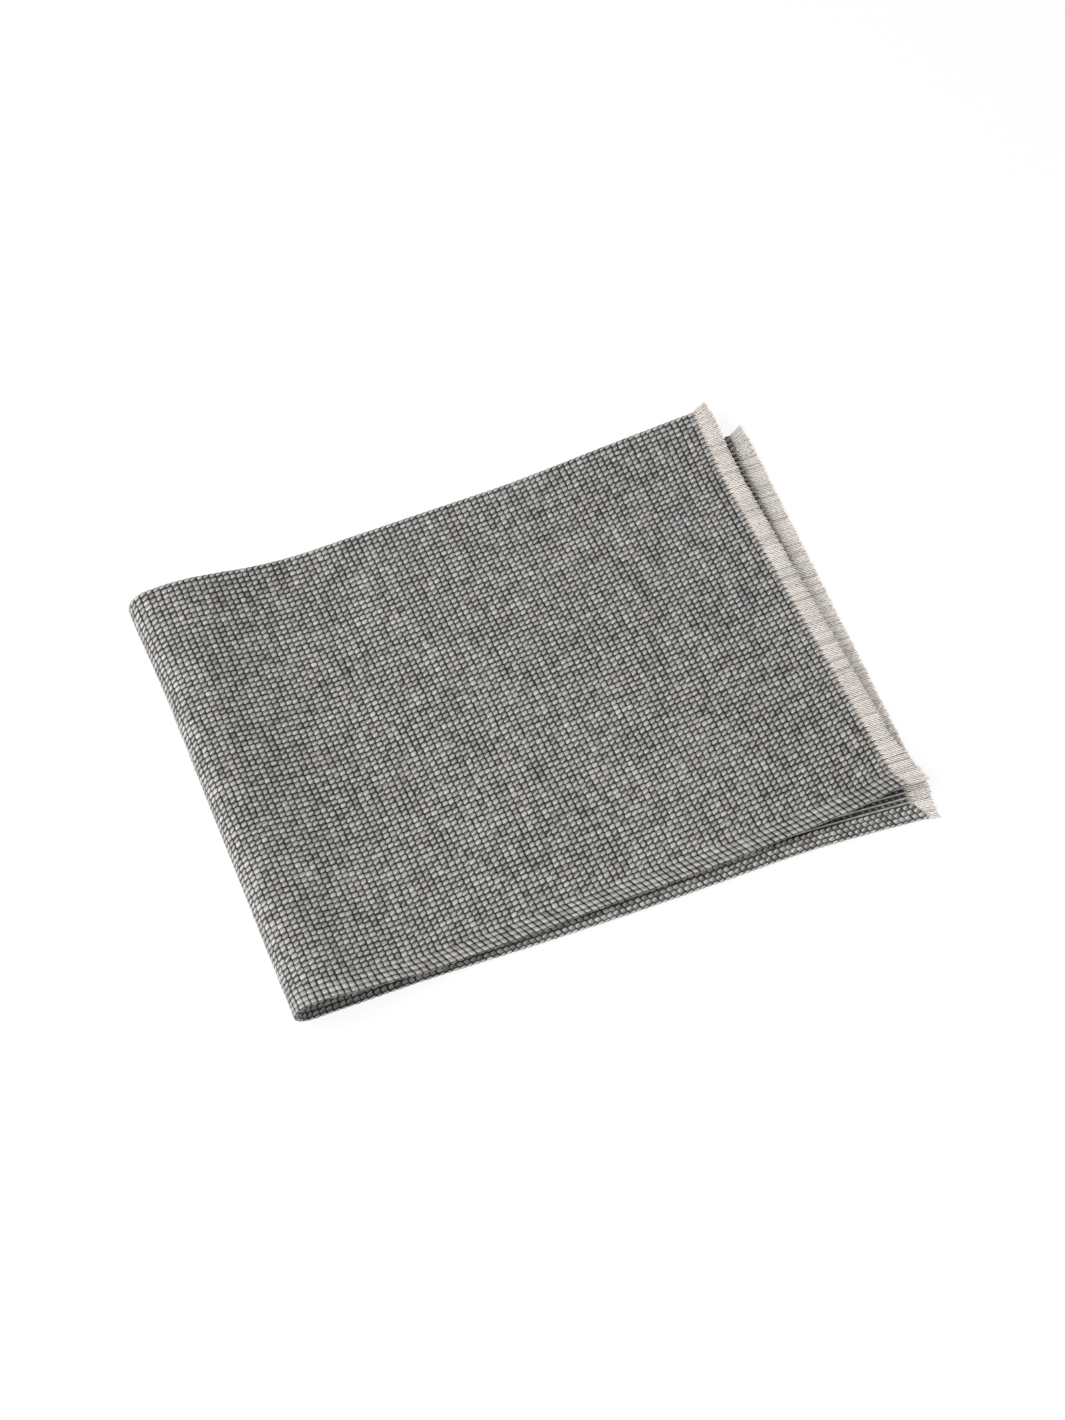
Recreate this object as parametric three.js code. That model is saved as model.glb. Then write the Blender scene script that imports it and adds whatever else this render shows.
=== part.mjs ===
import * as THREE from 'three';

// A thick woven hand towel with turned hems and fringed ends. It is folded once across its length and laid
// flat: the lower layer rests on the surface, a soft round fold is at -X, and both fringed ends lie at +X.
// Millimetres, +Z up. The part stands on z = 0 with its origin under the middle of its bounding box.
//
// The cloth is worked out as a flat cut and then folded. A place in the flat cut is (along, across):
//   along   from the fold's top line towards the upper end (+), or round the fold to the lower end (-)
//   across  from the near long edge (-) to the far long edge (+)

// Driving dimensions
const WIDTH = 300;
const UPPER_LENGTH = 367.5; // woven cloth from the top of the fold to the upper end
const LOWER_LENGTH = 380.2; // woven cloth from the foot of the fold to the lower end
const FOLD_BULGE = 12; // how far the fold stands out beyond its top and foot lines
const FOLD_BULGE_FAR = 14; // it is puffed a little more at its far end
const FOLD_ARC = 37; // cloth taken up by the round of the fold
const FOLD_LEAN = THREE.MathUtils.degToRad(1.55); // the fold line is a little off square
const CLOTH_THICKNESS = 2;
const HEM_WIDTH = 11;
const HEM_THICKNESS = 3; // the cloth and its turning pressed together
const HEM_STEP_WIDTH = 1.5; // the turning's edge, where the hem steps down to single cloth
const EDGE_ROUND = 0.8; // rounding of the turned edge
const EDGE_ROUND_WIDTH = 1.2;
const HEM_LEAN = 5; // the near hem creeps this far towards the woven ends
const HEM_RISE = 1.4; // the upper layer is lifted by the hems that it lies on
const HEM_RISE_WIDTH = 34;
const SEAT_GAP = 0.3; // between the cloth's woven end and its fringe
const FRINGE_LENGTH = 11.4;
const FRINGE_THICKNESS = 1.5;
const FRINGE_ROOT = 1.4; // solid strip that carries the bundles of thread
const BUNDLES = 85; // one bundle of fringe for each row of the weave
const BUNDLE_FILL = 0.74; // width of a bundle as a share of its pitch
const BUNDLE_TAPER = 0.8; // width of its tip as a share of its root
const BUNDLE_STRAY = 0.35; // bundles lean to one side or the other by this much
const BUNDLE_RAGGED = 0.5; // and are longer or shorter by this much
const FAR_CORNER_OUT = 3.6; // the far corner of the upper end is pulled out this far
const FAR_CORNER_WIDTH = 60;
const FAR_CORNER_START = 250;

// Upper layer, a row for each section across it: the distance from the fold's top line, the height of the
// top face near, in the middle and far, and how far the near and far edges stand out (+) or draw in (-).
const UPPER_COLUMNS = ['from', 'near', 'middle', 'far', 'nearOut', 'farOut'];
const UPPER_SECTIONS = [
  [0, 22.5, 23.0, 26.0, -1.0, -1.0],
  [10, 22.0, 22.3, 26.2, -1.0, -1.2],
  [22, 19.5, 19.0, 25.0, -0.8, -1.2],
  [35, 16.0, 15.0, 22.0, -1.0, -1.2],
  [48, 12.6, 11.6, 18.0, -1.2, -1.1],
  [62, 10.0, 8.8, 13.6, -0.5, -1.0],
  [78, 8.2, 6.8, 9.8, -0.5, -0.9],
  [98, 7.0, 5.6, 7.2, -0.5, -0.9],
  [130, 6.6, 5.2, 6.3, 0.0, -0.8],
  [180, 6.4, 5.2, 6.2, 0.8, -1.7],
  [240, 6.2, 5.2, 5.9, 2.0, -2.5],
  [300, 6.6, 6.0, 6.6, 1.8, -0.7],
  [345, 7.6, 7.2, 8.2, 0.6, -0.3],
  [368, 9.0, 8.4, 9.2, -1.0, -0.6],
  [388, 7.6, 7.0, 7.8, -1.4, -0.6],
];

// Lower layer, a row for each section: the distance from the fold's foot line and how far its edges stand
// out.
const LOWER_COLUMNS = ['from', 'nearOut', 'farOut'];
const LOWER_SECTIONS = [
  [0, -3.2, -1.0],
  [61, -3.9, -1.0],
  [123, -3.0, -1.0],
  [185, -2.7, -0.8],
  [247, -3.6, -0.6],
  [300, -4.6, -0.4],
  [342, -2.7, -0.2],
  [380, -0.2, 0.0],
  [400, 0.4, 0.2],
];

// How the fringe is shaped at its corners, a row for each place counted in bundles from the corner: how far
// the bundles splay towards the far edge (+) or the near edge (-), and how much longer they are.
const CORNER_COLUMNS = ['bundles', 'splay', 'longer'];
const UPPER_CORNERS = {
  near: [[0, -1.0, 2.0], [2, -0.8, 4.0], [5, -0.4, 2.4], [10, 0, 0]],
  far: [[0, 5.2, -0.8], [3, 2.8, 0], [8, 0, 0]],
};
const LOWER_CORNERS = {
  near: [[0, -0.8, -4.4], [2, -0.7, -0.6], [6, -0.3, 2.5], [13, 0, 0]],
  far: [[0, 6.2, -1.0], [3, 3.4, 0], [8, 0, 0]],
};

// Where the sections of the solid lie: across as distances from a long edge, along as the step between them.
const HEM_END = HEM_WIDTH + HEM_STEP_WIDTH;
const ACROSS_FROM_EDGE = [0, EDGE_ROUND_WIDTH, 5, HEM_WIDTH, HEM_END, 22, 33, 46, 62, 84, 116];
const STEP_FLAT = 21;
const STEP_SLOPE = 9;
const SLOPE_END = 100; // the upper layer slopes down from the fold as far as this
const FOLD_STEPS = 12;
const STEP_LOWER = 32;

// Turns a table into one smooth curve for each named column.
function curvesOf(columns, rows) {
  const curves = {};
  const places = rows.map((row) => row[0]);
  columns.slice(1).forEach((name, index) => {
    const values = rows.map((row) => row[index + 1]);
    const curve = new THREE.CubicInterpolant(places, values, 1);
    curves[name] = (place) => curve.evaluate(place)[0];
  });
  return curves;
}

const upper = curvesOf(UPPER_COLUMNS, UPPER_SECTIONS);
const lower = curvesOf(LOWER_COLUMNS, LOWER_SECTIONS);

// Height of the upper layer's top face at a distance from the fold's top line, for side = -1 near to +1 far.
function topHeight(from, side) {
  const near = upper.near(from) * side * (side - 1) / 2;
  const middle = upper.middle(from) * (1 - side * side);
  const far = upper.far(from) * side * (side + 1) / 2;
  const inset = (1 - Math.abs(side)) * WIDTH / 2;
  const rise = HEM_RISE * (1 - THREE.MathUtils.smoothstep(inset, 0, HEM_RISE_WIDTH));
  return near + middle + far + rise;
}

// How far a place across the cloth is shifted where the long edges stand out or draw in.
function sway(curves, from, side) {
  const nearPart = ((1 - side) / 2) ** 3;
  const farPart = ((1 + side) / 2) ** 3;
  return curves.farOut(from) * farPart - curves.nearOut(from) * nearPart;
}

// How far the near hem creeps towards the woven end at a distance from the fold.
function creep(from, across) {
  const inHem = THREE.MathUtils.clamp(1 - (across + WIDTH / 2) / HEM_WIDTH, 0, 1);
  return HEM_LEAN * inHem * THREE.MathUtils.smoothstep(from, 0, SLOPE_END);
}

// How far the far corner of the upper end is pulled out.
function cornerOut(from, across) {
  const inset = WIDTH / 2 - across;
  const sideways = 1 - THREE.MathUtils.smoothstep(inset, 0, FAR_CORNER_WIDTH);
  return FAR_CORNER_OUT * sideways * THREE.MathUtils.smoothstep(from, FAR_CORNER_START, UPPER_LENGTH);
}

// The outer face of the folded cloth: the top of the upper layer, the round of the fold and the underside.
function outerFace(along, across) {
  const side = THREE.MathUtils.clamp(across * 2 / WIDTH, -1, 1);
  const from = along * Math.cos(FOLD_LEAN) - across * Math.sin(FOLD_LEAN);
  let onFold = along * Math.sin(FOLD_LEAN) + across * Math.cos(FOLD_LEAN);
  let out = from + creep(from, across);
  let height = 0;
  if (from >= 0) {
    out += cornerOut(from, across);
    height = topHeight(from, side);
    onFold += sway(upper, from, side);
  } else if (from > -FOLD_ARC) {
    const turned = -from / FOLD_ARC;
    const bulge = THREE.MathUtils.lerp(FOLD_BULGE, FOLD_BULGE_FAR, THREE.MathUtils.smoothstep(side, 0.5, 1));
    out = -bulge * Math.sin(turned * Math.PI);
    height = topHeight(0, side) / 2 * (1 + Math.cos(turned * Math.PI));
    onFold += THREE.MathUtils.lerp(sway(upper, 0, side), sway(lower, 0, side), turned);
  } else {
    const fromFoot = -from - FOLD_ARC;
    out = fromFoot + creep(fromFoot, across);
    onFold += sway(lower, fromFoot, side);
  }
  return new THREE.Vector3(
    onFold * Math.sin(FOLD_LEAN) + out * Math.cos(FOLD_LEAN),
    onFold * Math.cos(FOLD_LEAN) - out * Math.sin(FOLD_LEAN),
    height,
  );
}

// A place in the folded cloth at a depth under its outer face.
function inCloth(along, across, depth) {
  const reach = 0.5;
  const place = outerFace(along, across);
  const forward = outerFace(along + reach, across).sub(outerFace(along - reach, across));
  const sideways = outerFace(along, across + reach).sub(outerFace(along, across - reach));
  const outward = forward.cross(sideways).normalize();
  return place.addScaledVector(outward, -depth);
}

// Distances along the flat cut where the solid has a section, from the lower end to the upper end.
function alongStations() {
  const stations = [];
  const addRun = (start, end, step) => {
    const count = Math.ceil(Math.abs(end - start) / step);
    for (let i = 0; i < count; i += 1) {
      stations.push(THREE.MathUtils.lerp(start, end, i / count));
    }
  };
  addRun(-FOLD_ARC - LOWER_LENGTH, -FOLD_ARC, STEP_LOWER);
  addRun(-FOLD_ARC, 0, FOLD_ARC / FOLD_STEPS);
  addRun(0, SLOPE_END, STEP_SLOPE);
  addRun(SLOPE_END, UPPER_LENGTH, STEP_FLAT);
  stations.push(UPPER_LENGTH);
  return stations;
}

// Distances across the cloth where the solid has a section, from the near edge to the far edge.
function acrossStations() {
  const nearHalf = ACROSS_FROM_EDGE.map((inset) => inset - WIDTH / 2);
  const farHalf = ACROSS_FROM_EDGE.map((inset) => WIDTH / 2 - inset).reverse();
  return [...nearHalf, 0, ...farHalf];
}

// The depths of the outer and the inner face: single cloth in the field, double and rounded in the hem.
function faceDepths(across) {
  const inset = WIDTH / 2 - Math.abs(across);
  const turned = 1 - THREE.MathUtils.smoothstep(inset, HEM_WIDTH, HEM_END);
  const thickness = THREE.MathUtils.lerp(CLOTH_THICKNESS, HEM_THICKNESS, turned);
  const round = EDGE_ROUND * (1 - THREE.MathUtils.smoothstep(inset, 0, EDGE_ROUND_WIDTH));
  return { outer: round, inner: thickness - round };
}

// The cloth starts as a flat board with a face at each station and is folded place by place.
function clothGeometry() {
  const along = alongStations();
  const across = acrossStations();
  const board = new THREE.BoxGeometry(1, 1, 1, along.length - 1, across.length - 1, 1);
  const corners = board.attributes.position;
  for (let i = 0; i < corners.count; i += 1) {
    const alongPlace = along[Math.round((corners.getX(i) + 0.5) * (along.length - 1))];
    const acrossPlace = across[Math.round((corners.getY(i) + 0.5) * (across.length - 1))];
    const depths = faceDepths(acrossPlace);
    const onLower = alongPlace <= -FOLD_ARC;
    const depth = corners.getZ(i) > 0 ? (onLower ? 0 : depths.outer) : depths.inner;
    const folded = inCloth(alongPlace, acrossPlace, depth);
    corners.setXYZ(i, folded.x, folded.y, folded.z);
  }
  return board;
}

// Unevenness of a fringe bundle, from -1 to 1, the same on every run.
function uneven(index, seed) {
  return Math.sin(index * 2.399 + seed) * 0.6 + Math.sin(index * 0.73 + seed * 2.1) * 0.4;
}

// The flat comb of a fringe: a root strip and one tapering bundle of thread for each row of the weave. It
// stands out along x from the woven end and runs across along y. Points come in pairs, below and above.
function combGeometry(corners, seed) {
  const near = curvesOf(CORNER_COLUMNS, corners.near);
  const far = curvesOf(CORNER_COLUMNS, corners.far);
  const points = [];
  const faces = [];
  const pointPair = (x, y) => {
    points.push(x, y, 0, x, y, FRINGE_THICKNESS);
    return points.length / 3 - 2;
  };
  const plate = (a, b, c, d) => {
    faces.push(a + 1, b + 1, c + 1, a + 1, c + 1, d + 1);
    faces.push(a, c, b, a, d, c);
  };
  const wall = (a, b) => faces.push(a, b, b + 1, a, b + 1, a + 1);

  const pitch = WIDTH / BUNDLES;
  const half = pitch * BUNDLE_FILL / 2;
  let last = null;
  for (let i = 0; i < BUNDLES; i += 1) {
    const middle = (i + 0.5) * pitch - WIDTH / 2;
    const fromFar = BUNDLES - 1 - i;
    const tip = middle + near.splay(i) + far.splay(fromFar) + BUNDLE_STRAY * uneven(i, seed);
    const longer = near.longer(i) + far.longer(fromFar);
    const length = FRINGE_LENGTH + longer + BUNDLE_RAGGED * uneven(i, seed + 1);
    const root = [pointPair(0, middle - half), pointPair(0, middle + half)];
    const neck = [pointPair(FRINGE_ROOT, middle - half), pointPair(FRINGE_ROOT, middle + half)];
    const end = [pointPair(length, tip - half * BUNDLE_TAPER), pointPair(length, tip + half * BUNDLE_TAPER)];
    plate(root[0], neck[0], neck[1], root[1]);
    plate(neck[0], end[0], end[1], neck[1]);
    wall(root[1], root[0]);
    wall(neck[0], end[0]);
    wall(end[0], end[1]);
    wall(end[1], neck[1]);
    if (last) {
      plate(last.root[1], last.neck[1], neck[0], root[0]);
      wall(root[0], last.root[1]);
      wall(last.neck[1], neck[0]);
    } else {
      wall(root[0], neck[0]);
    }
    last = { root, neck };
  }
  wall(last.neck[1], last.root[1]);

  const comb = new THREE.BufferGeometry();
  comb.setAttribute('position', new THREE.Float32BufferAttribute(points, 3));
  comb.setIndex(faces);
  return comb;
}

// A fringe lies in line with the woven end that it grows from, as thick as its threads.
function fringeGeometry(end, direction, corners, seed) {
  const comb = combGeometry(corners, seed);
  const points = comb.attributes.position;
  for (let i = 0; i < points.count; i += 1) {
    const along = end + direction * (SEAT_GAP + points.getX(i));
    const depth = direction > 0 ? FRINGE_THICKNESS - points.getZ(i) : points.getZ(i);
    const folded = inCloth(along, points.getY(i), depth);
    points.setXYZ(i, folded.x, folded.y, folded.z);
  }
  comb.computeVertexNormals();
  return comb;
}

function piece(name, geometry, color, roughness) {
  const mesh = new THREE.Mesh(geometry, new THREE.MeshStandardMaterial({ color, roughness, metalness: 0 }));
  mesh.name = name;
  return mesh;
}

const towel = new THREE.Group();
towel.add(piece('cloth', clothGeometry(), '#83827f', 0.95));
towel.add(piece('fringe_upper', fringeGeometry(UPPER_LENGTH, 1, UPPER_CORNERS, 0.4), '#c9c2ba', 0.9));
const lowerEnd = -FOLD_ARC - LOWER_LENGTH;
towel.add(piece('fringe_lower', fringeGeometry(lowerEnd, -1, LOWER_CORNERS, 2.7), '#bdb6ae', 0.9));

// Stand the towel on z = 0 with its origin under the middle of its bounding box.
const bounds = new THREE.Box3().setFromObject(towel);
const middle = bounds.getCenter(new THREE.Vector3());
towel.position.set(-middle.x, -middle.y, -bounds.min.z);

export default towel;
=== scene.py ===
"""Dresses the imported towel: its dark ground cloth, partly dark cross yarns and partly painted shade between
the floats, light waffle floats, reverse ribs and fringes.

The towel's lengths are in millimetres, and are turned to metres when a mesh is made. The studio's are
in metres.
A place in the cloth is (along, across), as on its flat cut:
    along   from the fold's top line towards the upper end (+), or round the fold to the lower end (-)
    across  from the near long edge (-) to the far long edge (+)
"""

from __future__ import annotations

import logging
import math
from dataclasses import dataclass, field
from enum import Enum
from typing import Callable

import bpy
import numpy as np
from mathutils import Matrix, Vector


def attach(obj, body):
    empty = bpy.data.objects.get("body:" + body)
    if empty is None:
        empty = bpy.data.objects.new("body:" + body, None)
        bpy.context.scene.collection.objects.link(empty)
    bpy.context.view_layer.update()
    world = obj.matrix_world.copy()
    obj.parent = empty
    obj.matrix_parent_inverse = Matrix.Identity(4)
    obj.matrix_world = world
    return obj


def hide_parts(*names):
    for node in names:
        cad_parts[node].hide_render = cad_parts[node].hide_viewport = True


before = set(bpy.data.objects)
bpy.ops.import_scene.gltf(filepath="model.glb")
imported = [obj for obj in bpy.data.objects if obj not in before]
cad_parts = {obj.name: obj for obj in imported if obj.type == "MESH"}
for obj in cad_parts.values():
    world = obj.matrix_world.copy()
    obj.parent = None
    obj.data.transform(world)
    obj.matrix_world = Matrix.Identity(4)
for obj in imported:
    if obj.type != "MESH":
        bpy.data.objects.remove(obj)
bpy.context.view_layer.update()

MM = 0.001
log = logging.getLogger("towel")


class End(Enum):
    """The two woven ends, by the way that their fringe points along the cloth."""

    UPPER = 1
    LOWER = -1


def smoothstep(value: np.ndarray, low: float, high: float) -> np.ndarray:
    """Rises smoothly from 0 at low to 1 at high.

    Args:
        value: Where the step is read.
        low: Where it starts.
        high: Where it ends.

    Returns:
        The step at each value.
    """
    t = np.clip((np.asarray(value, float) - low) / (high - low), 0, 1)
    return t * t * (3 - 2 * t)


def smooth_curve(places: np.ndarray, values: np.ndarray) -> Callable[[np.ndarray], np.ndarray]:
    """Makes one smooth curve through a column of a section table.

    Args:
        places: Distances at which the sections stand.
        values: The column's value at each section.

    Returns:
        A function that gives the curve's value at any distance.
    """
    count = len(places)

    def curve(x: np.ndarray) -> np.ndarray:
        """Reads the curve.

        Args:
            x: Where it is read.

        Returns:
            The value at each place.
        """
        x = np.clip(np.asarray(x, float), places[0], places[-1])
        after = np.clip(np.searchsorted(places, x, side="right"), 1, count - 1)
        before = after - 1
        start, end = places[before], places[after]
        left = np.where(before > 0, before - 1, after)
        right = np.where(after < count - 1, after + 1, before)
        left_at = np.where(before > 0, places[left], 2 * start - end)
        right_at = np.where(after < count - 1, places[right], 2 * end - start)
        half = (end - start) / 2
        w0, w1 = half / (start - left_at), half / (right_at - end)
        p = (x - start) / (end - start)
        p2, p3 = p * p, p * p * p
        return (
            (-w0 * p3 + 2 * w0 * p2 - w0 * p) * values[left]
            + ((1 + w0) * p3 - (1.5 + 2 * w0) * p2 + (w0 - 0.5) * p + 1) * values[before]
            + ((-1 - w1) * p3 + (1.5 + w1) * p2 + 0.5 * p) * values[after]
            + (w1 * p3 - w1 * p2) * values[right]
        )

    return curve


def linear(hex_colour: str) -> tuple[float, float, float, float]:
    """Turns a hex colour into Blender's linear colour.

    Args:
        hex_colour: Such as "#c8c4bc".

    Returns:
        Red, green, blue and an alpha of 1.
    """
    parts = [int(hex_colour[i : i + 2], 16) / 255 for i in (1, 3, 5)]
    r, g, b = (c / 12.92 if c <= 0.04045 else ((c + 0.055) / 1.055) ** 2.4 for c in parts)
    return (r, g, b, 1.0)


def rectangle_corners(u0: np.ndarray, u1: np.ndarray, v0: np.ndarray, v1: np.ndarray) -> np.ndarray:
    """Gives the corners of rectangles on a UV map, in the order of a quad's corners.

    Args:
        u0: Where each rectangle starts along.
        u1: Where it ends along.
        v0: Where it starts across.
        v1: Where it ends across.

    Returns:
        Four corners for each rectangle.
    """
    corners = ((u0, v0), (u1, v0), (u1, v1), (u0, v1))
    return np.stack([np.stack(corner, 1) for corner in corners], 1)


def net_quads(rows: int, columns: int, turned_over: bool = False) -> np.ndarray:
    """Gives the quads of a net of points that is numbered row by row.

    Args:
        rows: How many rows of points there are.
        columns: How many points each row has.
        turned_over: Whether the quads face the other way.

    Returns:
        The four corners of each quad.
    """
    i, j = np.meshgrid(np.arange(rows - 1), np.arange(columns - 1), indexing="ij")
    first = (i * columns + j).ravel()
    quads = np.stack([first, first + columns, first + columns + 1, first + 1], 1)
    return quads[:, [0, 3, 2, 1]] if turned_over else quads


def math_node(
    tree: bpy.types.NodeTree,
    operation: str,
    *values: bpy.types.NodeSocket | float,
    clamp: bool = False,
) -> bpy.types.NodeSocket:
    """Adds a node that works out a number.

    Args:
        tree: The tree that takes the node.
        operation: What it does with the values.
        values: Sockets that it reads, or plain numbers.
        clamp: Whether the result is kept between 0 and 1.

    Returns:
        The result's socket.
    """
    node = tree.nodes.new("ShaderNodeMath")
    node.operation = operation
    node.use_clamp = clamp
    for socket, value in zip(node.inputs, values):
        if isinstance(value, bpy.types.NodeSocket):
            tree.links.new(value, socket)
        else:
            socket.default_value = value
    return node.outputs[0]


def range_node(
    tree: bpy.types.NodeTree,
    value: bpy.types.NodeSocket,
    limits: dict[str, float],
    smooth: bool = False,
) -> bpy.types.NodeSocket:
    """Adds a node that maps one range of values to another.

    Args:
        tree: The tree that takes the node.
        value: The socket that it reads.
        limits: The ends of the ranges that aren't 0 and 1, by their names on the node.
        smooth: Whether it eases in and out.

    Returns:
        The result's socket.
    """
    node = tree.nodes.new("ShaderNodeMapRange")
    if smooth:
        node.interpolation_type = "SMOOTHSTEP"
    for name, limit in limits.items():
        node.inputs[name].default_value = limit
    tree.links.new(value, node.inputs["Value"])
    return node.outputs["Result"]


@dataclass
class MeshPlan:
    """Points, faces and face-corner data of one piece before it becomes a mesh."""

    points: np.ndarray
    quads: np.ndarray
    uvs: dict[str, np.ndarray] = field(default_factory=dict)
    values: dict[str, np.ndarray] = field(default_factory=dict)
    triangles: np.ndarray = field(default_factory=lambda: np.zeros((0, 3), int))

    def build(self, name: str) -> bpy.types.Object:
        """Makes the object, with its UV maps and point attributes.

        Args:
            name: The piece's name.

        Returns:
            The new object, linked to the scene.
        """
        mesh = bpy.data.meshes.new(name)
        mesh.vertices.add(len(self.points))
        mesh.vertices.foreach_set("co", (self.points * MM).astype(np.float32).ravel())
        corners = np.concatenate([self.quads.ravel(), self.triangles.ravel()])
        quad_starts = np.arange(len(self.quads)) * 4
        triangle_starts = len(self.quads) * 4 + np.arange(len(self.triangles)) * 3
        mesh.loops.add(len(corners))
        mesh.loops.foreach_set("vertex_index", corners.astype(np.int32))
        mesh.polygons.add(len(self.quads) + len(self.triangles))
        starts = np.concatenate([quad_starts, triangle_starts]).astype(np.int32)
        mesh.polygons.foreach_set("loop_start", starts)
        mesh.update(calc_edges=True)
        for uv_name, corner_uvs in self.uvs.items():
            layer = mesh.uv_layers.new(name=uv_name)
            layer.uv.foreach_set("vector", corner_uvs.astype(np.float32).ravel())
        for value_name, point_values in self.values.items():
            attribute = mesh.attributes.new(value_name, "FLOAT", "POINT")
            attribute.data.foreach_set("value", point_values.astype(np.float32).ravel())
        mesh.validate()
        mesh.shade_smooth()
        made = bpy.data.objects.new(name, mesh)
        bpy.context.scene.collection.objects.link(made)
        return made


@dataclass(frozen=True)
class FoldedCloth:
    """The form of the folded towel, the same as its solid's: one cloth folded once across its length."""

    width: float = 300
    upper_length: float = 367.5
    lower_length: float = 380.2
    fold_bulge: float = 12
    fold_bulge_far: float = 14
    fold_arc: float = 37
    fold_lean: float = math.radians(1.55)
    thickness: float = 2
    hem_width: float = 11
    hem_thickness: float = 3
    hem_step: float = 1.5
    hem_lean: float = 5
    hem_rise: float = 1.4
    hem_rise_width: float = 34
    slope_end: float = 100
    far_corner_out: float = 3.6
    far_corner_width: float = 60
    far_corner_start: float = 250
    centre_shift: tuple[float, float] = (-191.5486, 9.0240)

    # from, near, middle, far, near_out, far_out
    upper_sections: tuple = (
        (0, 22.5, 23.0, 26.0, -1.0, -1.0),
        (10, 22.0, 22.3, 26.2, -1.0, -1.2),
        (22, 19.5, 19.0, 25.0, -0.8, -1.2),
        (35, 16.0, 15.0, 22.0, -1.0, -1.2),
        (48, 12.6, 11.6, 18.0, -1.2, -1.1),
        (62, 10.0, 8.8, 13.6, -0.5, -1.0),
        (78, 8.2, 6.8, 9.8, -0.5, -0.9),
        (98, 7.0, 5.6, 7.2, -0.5, -0.9),
        (130, 6.6, 5.2, 6.3, 0.0, -0.8),
        (180, 6.4, 5.2, 6.2, 0.8, -1.7),
        (240, 6.2, 5.2, 5.9, 2.0, -2.5),
        (300, 6.6, 6.0, 6.6, 1.8, -0.7),
        (345, 7.6, 7.2, 8.2, 0.6, -0.3),
        (368, 9.0, 8.4, 9.2, -1.0, -0.6),
        (388, 7.6, 7.0, 7.8, -1.4, -0.6),
    )
    # from, near_out, far_out
    lower_sections: tuple = (
        (0, -3.2, -1.0),
        (61, -3.9, -1.0),
        (123, -3.0, -1.0),
        (185, -2.7, -0.8),
        (247, -3.6, -0.6),
        (300, -4.6, -0.4),
        (342, -2.7, -0.2),
        (380, -0.2, 0.0),
        (400, 0.4, 0.2),
    )

    @property
    def lower_end(self) -> float:
        """Where the lower woven end lies along the cloth."""
        return -self.fold_arc - self.lower_length

    @property
    def rim(self) -> float:
        """Radius of the turned edge, half of the hem's thickness."""
        return self.hem_thickness / 2

    def curves(self, rows: tuple) -> list[Callable[[np.ndarray], np.ndarray]]:
        """Makes a smooth curve of each column of a section table after its first."""
        table = np.array(rows, float)
        return [smooth_curve(table[:, 0], table[:, i]) for i in range(1, table.shape[1])]

    def outer_face(self, along: np.ndarray, across: np.ndarray) -> np.ndarray:
        """Gives the outer face of the folded cloth.

        Args:
            along: Distances along the cloth.
            across: Distances across it.

        Returns:
            A point for each place, in millimetres.
        """
        along, across = np.broadcast_arrays(np.asarray(along, float), np.asarray(across, float))
        near, middle, far, near_out, far_out = self.curves(self.upper_sections)
        lower_near_out, lower_far_out = self.curves(self.lower_sections)
        side = np.clip(across * 2 / self.width, -1, 1)
        lean = self.fold_lean
        start = along * math.cos(lean) - across * math.sin(lean)
        on_fold = along * math.sin(lean) + across * math.cos(lean)
        turned = np.clip(-start / self.fold_arc, 0, 1)
        upper, lower = np.maximum(start, 0), np.maximum(-start - self.fold_arc, 0)

        in_hem = np.clip(1 - (across + self.width / 2) / self.hem_width, 0, 1)
        upper_creep = self.hem_lean * in_hem * smoothstep(upper, 0, self.slope_end)
        lower_creep = self.hem_lean * in_hem * smoothstep(lower, 0, self.slope_end)
        sideways = 1 - smoothstep(self.width / 2 - across, 0, self.far_corner_width)
        far_along = smoothstep(upper, self.far_corner_start, self.upper_length)
        upper_creep += self.far_corner_out * sideways * far_along
        bulge = self.fold_bulge + (self.fold_bulge_far - self.fold_bulge) * smoothstep(side, 0.5, 1)
        on_upper, on_lower = start >= 0, start <= -self.fold_arc
        out = np.where(on_upper, upper + upper_creep, -bulge * np.sin(turned * math.pi))
        out = np.where(on_lower, lower + lower_creep, out)

        rise = self.hem_rise * (1 - smoothstep((1 - np.abs(side)) * self.width / 2, 0, self.hem_rise_width))
        height = near(upper) * side * (side - 1) / 2 + middle(upper) * (1 - side * side)
        height = height + far(upper) * side * (side + 1) / 2 + rise
        height = height * np.where(on_upper, 1, (1 + np.cos(turned * math.pi)) / 2)
        height = np.where(on_lower, 0, height)

        near_part, far_part = ((1 - side) / 2) ** 3, ((1 + side) / 2) ** 3
        upper_sway = far_out(upper) * far_part - near_out(upper) * near_part
        lower_sway = lower_far_out(lower) * far_part - lower_near_out(lower) * near_part
        on_fold = on_fold + upper_sway * (1 - turned) + lower_sway * turned

        x = on_fold * math.sin(lean) + out * math.cos(lean) + self.centre_shift[0]
        y = on_fold * math.cos(lean) - out * math.sin(lean) + self.centre_shift[1]
        return np.stack([x, y, height], -1)

    def in_cloth(self, along: np.ndarray, across: np.ndarray, depth: np.ndarray) -> np.ndarray:
        """Gives places in the cloth at a depth under its outer face.

        Args:
            along: Distances along the cloth.
            across: Distances across it.
            depth: Depths under the outer face.

        Returns:
            A point for each place, in millimetres.
        """
        reach = 0.5
        forward = self.outer_face(along + reach, across) - self.outer_face(along - reach, across)
        sideways = self.outer_face(along, across + reach) - self.outer_face(along, across - reach)
        outward = np.cross(forward, sideways)
        outward /= np.linalg.norm(outward, axis=-1, keepdims=True)
        return self.outer_face(along, across) - outward * np.asarray(depth)[..., None]

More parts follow.
